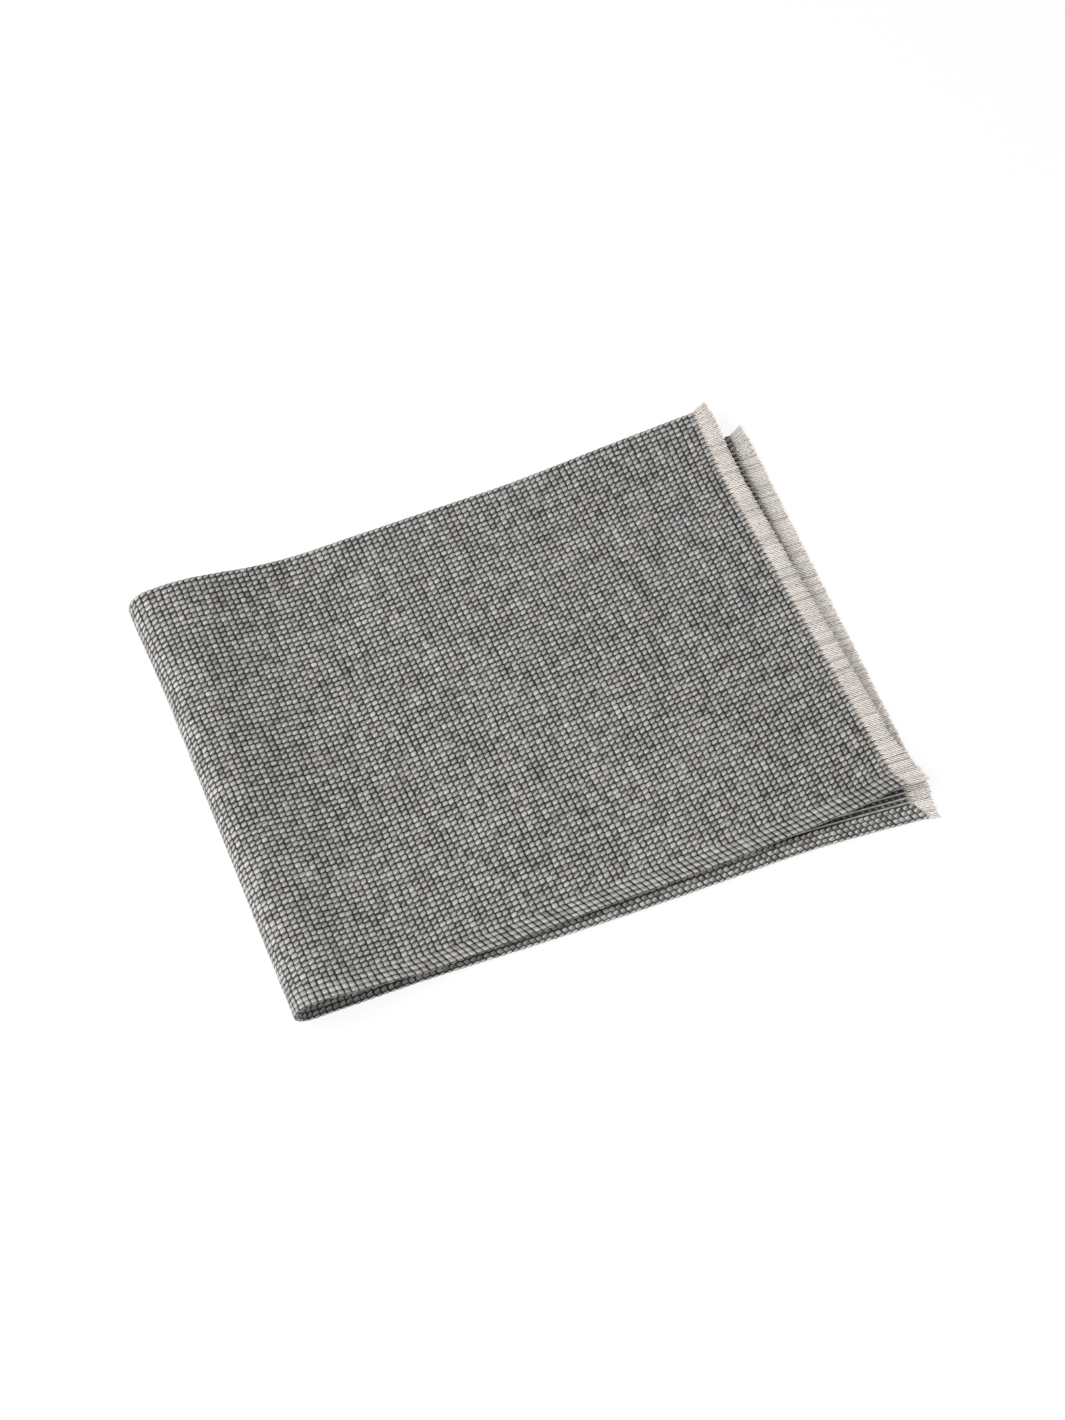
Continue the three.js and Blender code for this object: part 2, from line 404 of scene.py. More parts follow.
    def on_skin(self, along: np.ndarray, girth: np.ndarray, lift: np.ndarray, sunk: float) -> np.ndarray:
        """Gives places on the face side of the cloth, which runs round its turned edges into the hems.

        Args:
            along: Distances along the cloth.
            girth: Distances from its middle line, over the outer face, round the turned edge and back.
            lift: Heights over the ground of the weave.
            sunk: Depth of the ground of the weave under the outer face.

        Returns:
            A point for each place, in millimetres.
        """
        girth, lift = np.broadcast_arrays(np.asarray(girth, float), np.asarray(lift, float))
        edge = self.width / 2 - self.rim
        reach = np.abs(girth)
        turn = np.clip((reach - edge) / self.rim, 0, math.pi)
        radius = self.rim - sunk + lift
        back = np.maximum(reach - edge - math.pi * self.rim, 0)
        across = np.where(reach <= edge, reach, edge + radius * np.sin(turn) - back)
        depth = np.where(reach <= edge, sunk - lift, self.rim - radius * np.cos(turn))
        return self.in_cloth(along, np.sign(girth) * across, depth)


@dataclass(frozen=True)
class Weave:
    """How the yarns repeat: a light float in each cell over a dark ground of cross yarns and painted shade,
    and how uneven they are.
    """

    columns: int = 196
    rows: int = 85
    hem_rows: int = 4
    sunk: float = 0.8
    reverse_sunk: float = 0.35
    thin_seed: int = 5
    thin_run: float = 2
    thin_amount: float = 0.6
    thin_limits: tuple[float, float] = (-0.8, 3)
    gap_seed: int = 8
    gap_rarity: float = 1.95
    gap_amount: float = 2.4
    slub_seed: int = 6
    slub_run: float = 3
    slub_amount: float = 0.6
    patch_seed: int = 7
    patch_runs: tuple[float, float] = (7, 6)
    patch_amount: float = 0.12

    def row_pitch(self, form: FoldedCloth) -> float:
        """Distance from one row of floats to the next."""
        return form.width / self.rows

    def column_pitch(self, form: FoldedCloth) -> float:
        """Distance from one float to the next in its row."""
        return (form.upper_length - form.lower_end) / self.columns

    def smooth_noise(self, seed: int, run_along: float, run_across: float) -> np.ndarray:
        """Makes unevenness that runs some cells along and across the cloth.

        Args:
            seed: Of the random numbers.
            run_along: How many cells it runs along.
            run_across: How many cells it runs across.

        Returns:
            A value for each cell, of about 1 in size.
        """
        noise = np.random.default_rng(seed).normal(size=(self.columns, self.rows + 2 * self.hem_rows))
        for axis, run in ((0, run_along), (1, run_across)):
            if run > 0:
                reach = np.arange(-int(run * 3), int(run * 3) + 1)
                kernel = np.exp(-((reach / run) ** 2) / 2)
                noise = np.apply_along_axis(np.convolve, axis, noise, kernel / kernel.sum(), "same")
        return noise / noise.std()

    def thin_places(self) -> np.ndarray:
        """Finds where thin cross yarns leave wider dark gaps, in short runs down a column.

        Returns:
            How thin they are in each cell.
        """
        runs = np.clip(self.smooth_noise(self.thin_seed, 0, self.thin_run), *self.thin_limits)
        gaps = np.where(self.smooth_noise(self.gap_seed, 0, 0) > self.gap_rarity, self.gap_amount, 0)
        return runs * self.thin_amount + gaps

    def slubs(self) -> np.ndarray:
        """Gives the cells where the light yarn is thick (+) or thin (-), in runs along a row."""
        patches = self.patch_amount * self.smooth_noise(self.patch_seed, *self.patch_runs)
        return self.slub_amount * self.smooth_noise(self.slub_seed, self.slub_run, 0) + patches


@dataclass(frozen=True)
class YarnFinish:
    """Colours and surface of a yarn."""

    name: str
    light: str
    dark: str
    warm: str = "#8d7c62"
    cool: str = "#7c8394"
    roughness: float = 0.92
    specular: float = 0.25
    sheen: float = 0.15
    fibre_scale: float = 2600
    fibre_bump: float = 0.25
    fibre_height: float = 0.0002


class ToneGroup:
    """A shader group that mixes a yarn's colour from its shade and tint, with fibres through it."""

    NAME = "yarn_tone"
    COLOURS = ("Light", "Dark", "Warm", "Cool")
    FIBRE_SHADES = {"To Min": 0.72, "To Max": 1.22}
    FIBRE_DETAIL = 3

    @classmethod
    def get(cls) -> bpy.types.NodeTree:
        """Gives the group, made on first use.

        Returns:
            The node group with inputs Shade, Tint, Light, Dark, Warm, Cool and Fibre Scale, and outputs
            Color and Fibre.
        """
        if cls.NAME in bpy.data.node_groups:
            return bpy.data.node_groups[cls.NAME]
        group = bpy.data.node_groups.new(cls.NAME, "ShaderNodeTree")
        for name in ("Shade", "Tint", *cls.COLOURS, "Fibre Scale"):
            kind = "NodeSocketColor" if name in cls.COLOURS else "NodeSocketFloat"
            group.interface.new_socket(name, in_out="INPUT", socket_type=kind)
        group.interface.new_socket("Color", in_out="OUTPUT", socket_type="NodeSocketColor")
        group.interface.new_socket("Fibre", in_out="OUTPUT", socket_type="NodeSocketFloat")
        inside = group.nodes.new("NodeGroupInput")
        outside = group.nodes.new("NodeGroupOutput")

        place = group.nodes.new("ShaderNodeTexCoord")
        fibre = group.nodes.new("ShaderNodeTexNoise")
        fibre.inputs["Detail"].default_value = cls.FIBRE_DETAIL
        group.links.new(place.outputs["Object"], fibre.inputs["Vector"])
        group.links.new(inside.outputs["Fibre Scale"], fibre.inputs["Scale"])
        streak = range_node(group, fibre.outputs["Fac"], cls.FIBRE_SHADES)
        shaded = math_node(group, "MULTIPLY", inside.outputs["Shade"], streak, clamp=True)

        tone = cls.mix(group, shaded, inside.outputs["Dark"], inside.outputs["Light"])
        warm_part = math_node(group, "MAXIMUM", inside.outputs["Tint"], 0)
        warmed = cls.mix(group, warm_part, tone, inside.outputs["Warm"])
        cool_part = math_node(group, "MULTIPLY", inside.outputs["Tint"], -1, clamp=True)
        cooled = cls.mix(group, cool_part, warmed, inside.outputs["Cool"])
        group.links.new(cooled, outside.inputs["Color"])
        group.links.new(fibre.outputs["Fac"], outside.inputs["Fibre"])
        return group

    @staticmethod
    def mix(
        tree: bpy.types.NodeTree,
        share: bpy.types.NodeSocket,
        first: bpy.types.NodeSocket,
        second: bpy.types.NodeSocket,
    ) -> bpy.types.NodeSocket:
        """Mixes two colours.

        Args:
            tree: The tree that takes the node.
            share: How much of the second colour there is.
            first: The first colour.
            second: The second colour.

        Returns:
            The mixed colour's socket.
        """
        mixer = tree.nodes.new("ShaderNodeMix")
        mixer.data_type = "RGBA"
        tree.links.new(share, mixer.inputs["Factor"])
        tree.links.new(first, mixer.inputs["A"])
        tree.links.new(second, mixer.inputs["B"])
        return mixer.outputs["Result"]


class YarnMaterial:
    """A matt yarn whose shade and tint come from the attributes of the piece that wears it."""

    def __init__(self, finish: YarnFinish) -> None:
        """Keeps the finish."""
        self.finish = finish

    def build(self) -> bpy.types.Material:
        """Makes the material.

        Returns:
            The material.
        """
        made = bpy.data.materials.new(self.finish.name)
        made.use_nodes = True
        tree = made.node_tree
        surface = tree.nodes["Principled BSDF"]
        surface.inputs["Roughness"].default_value = self.finish.roughness
        surface.inputs["Sheen Weight"].default_value = self.finish.sheen
        surface.inputs["Specular IOR Level"].default_value = self.finish.specular
        tone = tree.nodes.new("ShaderNodeGroup")
        tone.node_tree = ToneGroup.get()
        tone.inputs["Fibre Scale"].default_value = self.finish.fibre_scale
        for name in ToneGroup.COLOURS:
            tone.inputs[name].default_value = linear(getattr(self.finish, name.lower()))
        self.link_shade(tree, tone)
        tree.links.new(tone.outputs["Color"], surface.inputs["Base Color"])
        bump = tree.nodes.new("ShaderNodeBump")
        bump.inputs["Strength"].default_value = self.finish.fibre_bump
        bump.inputs["Distance"].default_value = self.finish.fibre_height
        tree.links.new(tone.outputs["Fibre"], bump.inputs["Height"])
        tree.links.new(bump.outputs["Normal"], surface.inputs["Normal"])
        return made

    def link_shade(self, tree: bpy.types.NodeTree, tone: bpy.types.Node) -> None:
        """Feeds the tone from the piece's shade and tint attributes.

        Args:
            tree: The material's tree.
            tone: The tone group's node.
        """
        for attribute, socket in (("shade", "Shade"), ("tint", "Tint")):
            reader = tree.nodes.new("ShaderNodeAttribute")
            reader.attribute_name = attribute
            tree.links.new(reader.outputs["Fac"], tone.inputs[socket])


class GroundMaterial(YarnMaterial):
    """The ground between the floats: dark cross yarns with lighter yarn passing under them, partly painted
    shade, darkest along the lines between cells and where they cross.
    """

    GAP = {"From Min": 0.05, "From Max": 0.22}
    ALONG_SHARE = 0.75

    def link_shade(self, tree: bpy.types.NodeTree, tone: bpy.types.Node) -> None:
        """Feeds the tone from the place in the weave's repeat: darker along the lines between cells, as dark
        cross yarns and painted shade, and darkest where they cross.

        Args:
            tree: The material's tree.
            tone: The tone group's node.
        """
        cells = tree.nodes.new("ShaderNodeUVMap")
        cells.uv_map = "weave"
        parts = tree.nodes.new("ShaderNodeSeparateXYZ")
        tree.links.new(cells.outputs["UV"], parts.inputs[0])
        masks = []
        for axis in ("X", "Y"):
            from_gap = math_node(tree, "PINGPONG", parts.outputs[axis], 0.5)
            masks.append(range_node(tree, from_gap, self.GAP, smooth=True))
        # painted shade along the lines between cells, darkest at their crossings
        shade = math_node(tree, "MULTIPLY_ADD", masks[0], self.ALONG_SHARE, masks[1])
        tree.links.new(math_node(tree, "MULTIPLY", shade, 0.5), tone.inputs["Shade"])


@dataclass(frozen=True)
class WovenPiece:
    """A piece of the towel that is planned by its places in the cloth and made as one mesh."""

    name: str
    form: FoldedCloth
    weave: Weave

    def plan(self) -> MeshPlan:
        """Works out the piece's points and faces."""
        raise NotImplementedError

    def build(self, material: bpy.types.Material) -> bpy.types.Object:
        """Makes the piece and dresses it.

        Args:
            material: What all of it wears.

        Returns:
            The new object.
        """
        made = self.plan().build(self.name)
        made.data.materials.append(material)
        return made


@dataclass(frozen=True)
class GroundCloth(WovenPiece):
    """The ground of the cloth: one thin closed sheet that runs round its turned hems."""

    rim_points: int = 3
    hem_insets: tuple[float, float] = (5.0, 8.0)
    inner_step: float = 0.3
    step_across: float = 3.53
    step_along: float = 4.0
    fold_step: float = 2.0
    fold_margins: tuple[float, float] = (4, 8)
    flat_share: float = 0.95
    cap_flats: tuple[float, float] = (0.96, 0.98)
    cap_flat_width: float = 0.012

    def insets(self) -> list[tuple[float, float, float, float]]:
        """Gives the sheet's section at the near edge, from the edge inwards.

        Returns:
            For each station the outer inset and depth and the inner inset and depth.
        """
        form, sunk = self.form, self.weave.sunk
        radius = form.rim - sunk
        rows = []
        for i in range(self.rim_points + 1):
            turn = math.pi / 2 * i / self.rim_points
            inset, drop = form.rim - radius * math.cos(turn), radius * math.sin(turn)
            rows.append((inset, form.rim - drop, inset, form.rim + drop))
        for inset in (*self.hem_insets, form.hem_width):
            rows.append((inset, sunk, inset, form.hem_thickness - sunk))
        inner_depth = form.thickness - self.weave.reverse_sunk
        rows.append((form.hem_width + form.hem_step, sunk, form.hem_width + self.inner_step, inner_depth))
        return rows

    def section(self) -> np.ndarray:
        """Gives the whole section across the cloth.

        Returns:
            A row for each station: outer across, outer depth, inner across, inner depth.
        """
        edge = self.form.width / 2
        near = [(a - edge, b, c - edge, d) for a, b, c, d in self.insets()]
        far = [(-a, b, -c, d) for a, b, c, d in reversed(near)]
        start, end = near[-1][0], far[0][0]
        count = round((end - start) / self.step_across)
        outer, inner = self.weave.sunk, self.form.thickness - self.weave.reverse_sunk
        places = [start + (end - start) * i / count for i in range(1, count)]
        return np.array(near + [(place, outer, place, inner) for place in places] + far)

    def stations(self) -> np.ndarray:
        """Spaces the sheet's sections, closer together round the fold.

        Returns:
            The distances along the cloth where it has one.
        """
        form = self.form
        fold_start, fold_end = -form.fold_arc - self.fold_margins[0], self.fold_margins[1]
        runs = []
        for start, end, step in (
            (form.lower_end, fold_start, self.step_along),
            (fold_start, fold_end, self.fold_step),
            (fold_end, form.upper_length, self.step_along),
        ):
            count = math.ceil((end - start) / step)
            runs.append(np.linspace(start, end, count, endpoint=False))
        return np.append(np.concatenate(runs), form.upper_length)

    def cap(self, first: int, width: int, flat_start: float, outward: bool) -> tuple[list, list]:
        """Closes the sheet at one woven end.

        Args:
            first: Number of the first point round the end.
            width: How many stations the section has.
            flat_start: Where the cap starts on the flat map.
            outward: Whether the faces keep the order of the points round the end.

        Returns:
            The cap's faces, and the corners of each on the flat map.
        """
        girth = 2 * width - 2
        flat_end = flat_start + self.cap_flat_width
        faces, flats = [], []
        for j in range(width - 1):
            k0, k1 = first + j, first + j + 1
            m0, m1 = first + (girth - j) % girth, first + (girth - j - 1) % girth
            low, high = j / width, (j + 1) / width
            face = [k0, k1, m1, m0]
            flat = [(flat_start, low), (flat_start, high), (flat_end, high), (flat_end, low)]
            if j == 0:
                face, flat = [k0, k1, m1], flat[:3]
            if j == width - 2:
                face, flat = [k0, k1, m0], [flat[0], flat[1], flat[3]]
            faces.append(face if outward else face[::-1])
            flats.append(flat if outward else flat[::-1])
        return faces, flats

    def plan(self) -> MeshPlan:
        """Works out the sheet as a tube round its section, closed at both woven ends.

        Returns:
            The plan of the piece.
        """
        section, stations = self.section(), self.stations()
        loop = np.concatenate([section[:, :2], section[-2:0:-1, 2:]])
        girth = len(loop)
        ring = np.tile(loop, (len(stations), 1))
        s, g = np.meshgrid(np.arange(len(stations) - 1), np.arange(girth), indexing="ij")
        s, g = s.ravel(), g.ravel()
        here, ahead, following = s * girth, (s + 1) * girth, (g + 1) % girth
        sides = np.stack([here + g, ahead + g, ahead + following, here + following], 1)

        steps = np.hypot(*np.diff(np.vstack([loop, loop[:1]]), axis=0).T)
        travelled = np.concatenate([[0], np.cumsum(steps)])
        around = travelled / travelled[-1]
        from_end = stations - stations[0]
        flat = from_end / from_end[-1] * self.flat_share
        columns = from_end / self.weave.column_pitch(self.form)
        rows = (loop[:, 0] + self.form.width / 2) / self.weave.row_pitch(self.form)
        side_flats = rectangle_corners(flat[s], flat[s + 1], around[g], around[g + 1])
        side_cells = rectangle_corners(columns[s], columns[s + 1], rows[g], rows[following])

        last = (len(stations) - 1) * girth
        lower_cap = self.cap(0, len(section), self.cap_flats[0], outward=False)
        upper_cap = self.cap(last, len(section), self.cap_flats[1], outward=True)
        caps = list(zip(lower_cap[0] + upper_cap[0], lower_cap[1] + upper_cap[1]))
        quads = [(face, corners) for face, corners in caps if len(face) == 4]
        triangles = [(face, corners) for face, corners in caps if len(face) == 3]
        cap_flats = np.concatenate([np.array(corners) for _, corners in quads + triangles])
        return MeshPlan(
            points=self.form.in_cloth(np.repeat(stations, girth), ring[:, 0], ring[:, 1]),
            quads=np.concatenate([sides, np.array([face for face, _ in quads])]),
            triangles=np.array([face for face, _ in triangles]),
            uvs={
                "weave": np.concatenate([side_cells.reshape(-1, 2), np.zeros((len(cap_flats), 2))]),
                "OFBake": np.concatenate([side_flats.reshape(-1, 2), cap_flats]),
            },
        )


@dataclass(frozen=True)
class FloatShape:
    """One float: two strands of light yarn that rise from the ground, lie across a cell and dive again."""

    length: float = 3.95
    width: float = 3.28
    lift: float = 0.7
    skew: float = 0.16
    roundness: float = 0.24
    rooted: float = 0.04
    strand_base: float = 0.82
    strand_rise: float = 0.22
    ridge_lean: float = 0.42
    ridge_place: float = -0.3
    ridge_width: float = 0.34
    # painted highlight: off its upper strand a float is painted darker by this share
    ridge_highlight: float = 0.64
    rim: float = 0.9
    # painted shade at a float's side rims; its end rims are painted black
    painted_rim_shade: float = 0.2
    long_stations: tuple = (-1.0, -0.74, 0.0, 0.74, 1.0)
    wide_stations: tuple = (-1.0, -0.66, -0.3, 0.15, 0.6, 1.0)

    def grid(self) -> tuple[np.ndarray, np.ndarray]:
        """Gives the place of each point along and across the float, from -1 to 1."""
        s, t = np.meshgrid(self.long_stations, self.wide_stations, indexing="ij")
        return s.ravel(), t.ravel()

    def ridge(self, lean: np.ndarray) -> np.ndarray:
        """Gives the part of the float that its upper strand covers.

        Args:
            lean: How far each float's upper strand leans.

        Returns:
            From 0 off the strand to 1 on it, a row for each float.
        """
        s, t = self.grid()
        off = t[None] - lean[:, None] * s[None] - self.ridge_place
        return np.exp(-((off / self.ridge_width) ** 2))


@dataclass(frozen=True)
class FloatScatter:
    """How far floats stray from their shape, and what thin cross yarn and slubs change in them."""

    along: float = 0.12
    girth: float = 0.1
    length: float = 0.05
    width: float = 0.06
    skew: float = 0.35
    lift: float = 0.08
    tone: float = 0.09
    # spread and limits of the painted highlight's strength
    ridge_highlight: float = 0.2
    ridge_highlight_limits: tuple[float, float] = (0.1, 0.9)
    tint: float = 0.06
    rare: float = 0.006
    rare_warm: float = 0.22
    rare_cool: float = 0.2
    thin_length: float = 0.07
    thin_lift: float = 0.06
    thin_tone: float = 0.08
    slub_width: float = 0.05
    slub_lift: float = 0.06
    slub_tone: float = 0.03


@dataclass(frozen=True)
class HemChange:
    """How floats differ over the turning of the near hem: drawn straighter, with a weaker painted highlight
    and lighter painted rim shade.
    """

    rows: float = 4
    fade: float = 2
    straighter: float = 1.2
    shorter: float = 0.05
    wider: float = 0.05
    # the painted highlight is weaker by this share over the hem
    upright: float = 0.8
    darker: float = 0.13
    weaker_highlight: float = 0.3
    # the painted rim shade is lighter by this much over the hem
    painted_rim_shade: float = 0.2

    def share(self, row: np.ndarray) -> np.ndarray:
        """Gives how much of the change each row has, from 0 to 1."""
        return np.where(row >= 0, np.clip((self.rows - row) / self.fade, 0, 1), 0)


@dataclass(frozen=True)
class FloatCells:
    """The cells of a field, one after another: where each is, and how its yarns are."""

    column: np.ndarray
    row: np.ndarray
    thin: np.ndarray
    slub: np.ndarray
    in_hem: np.ndarray
    ridge: np.ndarray


@dataclass(frozen=True)
class FloatField(WovenPiece):
    """A field of floats, one in each cell of a run of columns and rows."""

    shape: FloatShape
    columns: range
    rows: range
    seed: int
    scatter: FloatScatter = FloatScatter()
    hem: HemChange = HemChange()
    flat_reach: float = 0.44

    def cells(self) -> FloatCells:
        """Lists the field's cells, column by column.

        Returns:
            The cells.
        """
        column, row = np.meshgrid(np.array(self.columns), np.array(self.rows), indexing="ij")
        column, row = column.ravel(), row.ravel()
        place, in_hem = (column, row + self.weave.hem_rows), self.hem.share(row)
        ridge = self.shape.ridge(self.shape.ridge_lean * (1 - self.hem.upright * in_hem))
        return FloatCells(
            column, row, self.weave.thin_places()[place], self.weave.slubs()[place], in_hem, ridge
        )

    def points(self, random: np.random.Generator, cells: FloatCells) -> np.ndarray:
        """Works out the points of every float.

        Args:
            random: Where the unevenness comes from.
            cells: The field's cells.

        Returns:
            The points, float by float.
        """
        shape, scatter, hem = self.shape, self.scatter, self.hem
        count, (s, t) = len(cells.column), shape.grid()
        along = self.form.lower_end + (cells.column + 0.5) * self.weave.column_pitch(self.form)
        along = along + random.normal(0, scatter.along, count)
        girth = (cells.row - (self.weave.rows - 1) / 2) * self.weave.row_pitch(self.form)
        girth = girth + random.normal(0, scatter.girth, count)
        length = random.normal(1, scatter.length, count) - scatter.thin_length * cells.thin
        length = shape.length / 2 * length * (1 - hem.shorter * cells.in_hem)
        width = random.normal(1, scatter.width, count) + scatter.slub_width * cells.slub
        width = shape.width / 2 * width * (1 + hem.wider * cells.in_hem)
        skew = shape.skew * random.normal(1, scatter.skew, count) * (1 - hem.straighter * cells.in_hem)
        lift = random.normal(1, scatter.lift, count) + scatter.slub_lift * cells.slub
        lift = shape.lift * (lift - scatter.thin_lift * cells.thin)

        x = s * np.sqrt(1 - shape.roundness * t * t) * length[:, None]
        y = t * np.sqrt(1 - shape.roundness * s * s) * width[:, None] + skew[:, None] * x
        dome = np.sqrt((1 - s**4) * (1 - t**4))
        strand = shape.strand_base + shape.strand_rise * cells.ridge
        height = np.minimum(lift[:, None] * dome * strand - shape.rooted, self.weave.sunk)
        along = np.clip(along[:, None] + x, self.form.lower_end, self.form.upper_length)
        return self.form.on_skin(along, girth[:, None] + y, height, self.weave.sunk).reshape(-1, 3)

    def shades(self, random: np.random.Generator, cells: FloatCells) -> np.ndarray:
        """Works out how light every point of every float is: a painted highlight on the upper strand, painted
        shade off it and at the rims.

        Args:
            random: Where the unevenness comes from.
            cells: The field's cells.

        Returns:
            A shade for each point, from 0 for dark to 1 for light.
        """
        shape, scatter, hem = self.shape, self.scatter, self.hem
        count, (s, t) = len(cells.column), shape.grid()
        tone = random.normal(1, scatter.tone, count) + scatter.slub_tone * cells.slub
        tone = tone - scatter.thin_tone * cells.thin - hem.darker * cells.in_hem
        # painted highlight on the upper strand, painted shade off it
        strength = shape.ridge_highlight * random.normal(1, scatter.ridge_highlight, count)
        strength = np.clip(strength * (1 - hem.weaker_highlight * cells.in_hem), *scatter.ridge_highlight_limits)
        # painted shade at the rims: grey at the sides, black at the ends
        on_painted_rim = (np.abs(s) > shape.rim) | (np.abs(t) > shape.rim)
        painted_rim_shade = (shape.painted_rim_shade + hem.painted_rim_shade * cells.in_hem[:, None]) * (np.abs(s) < shape.rim)
        shade = np.where(on_painted_rim, painted_rim_shade, 1 - strength[:, None] * (1 - cells.ridge))
        return (shade * tone[:, None]).ravel()

    def tints(self, random: np.random.Generator, count: int) -> np.ndarray:
        """Draws how warm (+) or cool (-) each float is, with a few that stand out.

        Args:
            random: Where the unevenness comes from.
            count: How many floats there are.

        Returns:
            A tint for each float.
        """
        scatter = self.scatter
        tint = random.normal(0, scatter.tint, count)
        warm = np.where(random.random(count) < scatter.rare, scatter.rare_warm, 0)
        cool = np.where(random.random(count) < scatter.rare, scatter.rare_cool, 0)
        return tint + (warm - cool)

    def plan(self) -> MeshPlan:
        """Works out every float of the field, each a little uneven.

        Returns:
            The plan of the piece.
        """
        random, cells = np.random.default_rng(self.seed), self.cells()
        count, (s, t) = len(cells.column), self.shape.grid()
        quads = net_quads(len(self.shape.long_stations), len(self.shape.wide_stations))
        faces = (quads[None] + np.arange(count)[:, None, None] * len(s)).reshape(-1, 4)
        points, shades = self.points(random, cells), self.shades(random, cells)
        u = (cells.column - self.columns.start)[:, None] + 0.5 + self.flat_reach * s[None]
        v = (cells.row - self.rows.start)[:, None] + 0.5 + self.flat_reach * t[None]
        flat = np.stack([u / len(self.columns), v / len(self.rows)], -1).reshape(-1, 2)
        return MeshPlan(
            points=points,
            quads=faces,
            uvs={"OFBake": flat[faces.ravel()]},
            values={"shade": shades, "tint": np.repeat(self.tints(random, count), len(s))},
        )


@dataclass(frozen=True)
class RibRun:
    """One rib of the reverse: its distance across the cloth and the columns that it runs between."""

    index: int
    middle: float
    first: int
    last: int


@dataclass(frozen=True)
class ReverseRibs(WovenPiece):
    """The reverse of the weave: yarns that lie along the cloth as ribs, with cross yarns between them.

    Beside both hems the ribs run the whole length of the cloth. The rest of them are made near the woven
    ends only, where the open edge shows them.
    """

    seed: int = 21
    long_ribs: int = 8
    end_columns: int = 9
    clear_of_hem: float = 0.3
    rooted: float = 0.04
    width: float = 1.5
    height: float = 0.6
    swell: float = 0.16
    drift: float = 0.12
    drift_run: float = 19
    drift_step: float = 1.7
    tone: float = 0.74
    tone_spread: float = 0.07
    # painted shade at the foot of each rib
    painted_foot_shade: float = 0.5
    bridge_length: float = 2.7
    bridge_width: float = 2.4
    bridge_height: float = 0.34
    bridge_rooted: float = 0.02
    bridge_sway: float = 0.16
    bridge_tone: float = 0.5
    bridge_tone_spread: float = 0.14
    bridge_tone_limits: tuple[float, float] = (0.1, 0.9)
    # painted shade at the rims of each cross yarn
    painted_bridge_rim_shade: float = 0.1
    # start, step, as shares of a run's lane on the flat map
    rib_lane: tuple[float, float] = (0.04, 0.1)
    # middle, reach, as shares of a run's lane and then of a column
    bridge_lane: tuple[float, float] = (0.75, 0.2)
    bridge_column: tuple[float, float] = (0.5, 0.4)
    # across, up, as shares of half the width and of the height
    rib_profile: tuple = ((-1.0, 0.0), (-0.5, 0.85), (0.0, 1.0), (0.5, 0.85), (1.0, 0.0))
    bridge_stations: tuple = (-1.0, 0.0, 1.0)

    @property
    def base(self) -> float:
        """Depth that the ribs are rooted at, just under the inner face."""
        return self.form.thickness - self.weave.reverse_sunk - self.rooted

    def runs(self) -> list[RibRun]:
        """Lists the ribs, from the near edge to the far one.

        Returns:
            The runs that they make, one or two for each rib.
        """
        pitch, columns = self.weave.row_pitch(self.form), self.weave.columns
        reach = self.form.width / 2 - self.form.hem_width - self.clear_of_hem - pitch / 2
        count = int(2 * reach / pitch) + 1
        runs = []
        for rib in range(count):
            middle = (rib - (count - 1) / 2) * pitch
            stretches = [(0, self.end_columns), (columns - self.end_columns, columns)]
            if min(rib, count - 1 - rib) < self.long_ribs:
                stretches = [(0, columns)]
            for first, last in stretches:
                runs.append(RibRun(len(runs), middle, first, last))
        return runs

    def rib(self, random: np.random.Generator, run: RibRun) -> tuple[np.ndarray, ...]:
        """Works out one rib.

        Args:
            random: Where the unevenness comes from.
            run: The rib's run.

        Returns:
            Its points, quads and shades, and its places along and across the flat map, in runs.
        """
        pitch, profile = self.weave.column_pitch(self.form), np.array(self.rib_profile)
        count = (run.last - run.first) * 2
        along = self.form.lower_end + (run.first + np.arange(count + 1) / 2) * pitch
        wave = 1 + self.swell * np.cos(along / pitch * 2 * math.pi)
        drift = self.drift * np.sin(along / self.drift_run + run.index * self.drift_step)
        across = run.middle + drift[:, None] + profile[:, 0] * self.width / 2 * wave[:, None]
        depth = self.base + profile[:, 1] * self.height * wave[:, None]
        places = self.form.in_cloth(np.broadcast_to(along[:, None], across.shape), across, depth)
        tone = random.normal(self.tone, self.tone_spread, len(along))[:, None]
        # painted shade: darker towards the rib's foot
        tone = tone * (self.painted_foot_shade + (1 - self.painted_foot_shade) * profile[:, 1])
        u = (np.arange(count + 1) / count)[:, None]
        v = run.index + self.rib_lane[0] + self.rib_lane[1] * np.arange(len(profile))
        return places, net_quads(*across.shape, turned_over=True), tone, u, v

    def bridges(self, random: np.random.Generator, run: RibRun) -> tuple[np.ndarray, ...]:
        """Works out the cross yarns beside one rib, one for each column.

        Args:
            random: Where the unevenness comes from.
            run: The rib's run.

        Returns:
            Their points, quads and shades, and their places along and across the flat map, in runs.
        """
        s, t = np.meshgrid(self.bridge_stations, self.bridge_stations, indexing="ij")
        s, t = s.ravel(), t.ravel()
        column = np.arange(run.first, run.last)[:, None]
        sway = random.normal(0, self.bridge_sway, column.shape)
        along = self.form.lower_end + (column + 0.5) * self.weave.column_pitch(self.form) + sway
        along = along + s * self.bridge_width / 2
        side = run.middle + self.weave.row_pitch(self.form) / 2 + t * self.bridge_length / 2
        dome = (1 - s * s) * (1 - t * t)
        depth = self.base + self.bridge_height * dome - self.bridge_rooted + 0 * along
        places = self.form.in_cloth(along, np.broadcast_to(side, along.shape), depth)
        tone = random.normal(self.bridge_tone, self.bridge_tone_spread, column.shape)
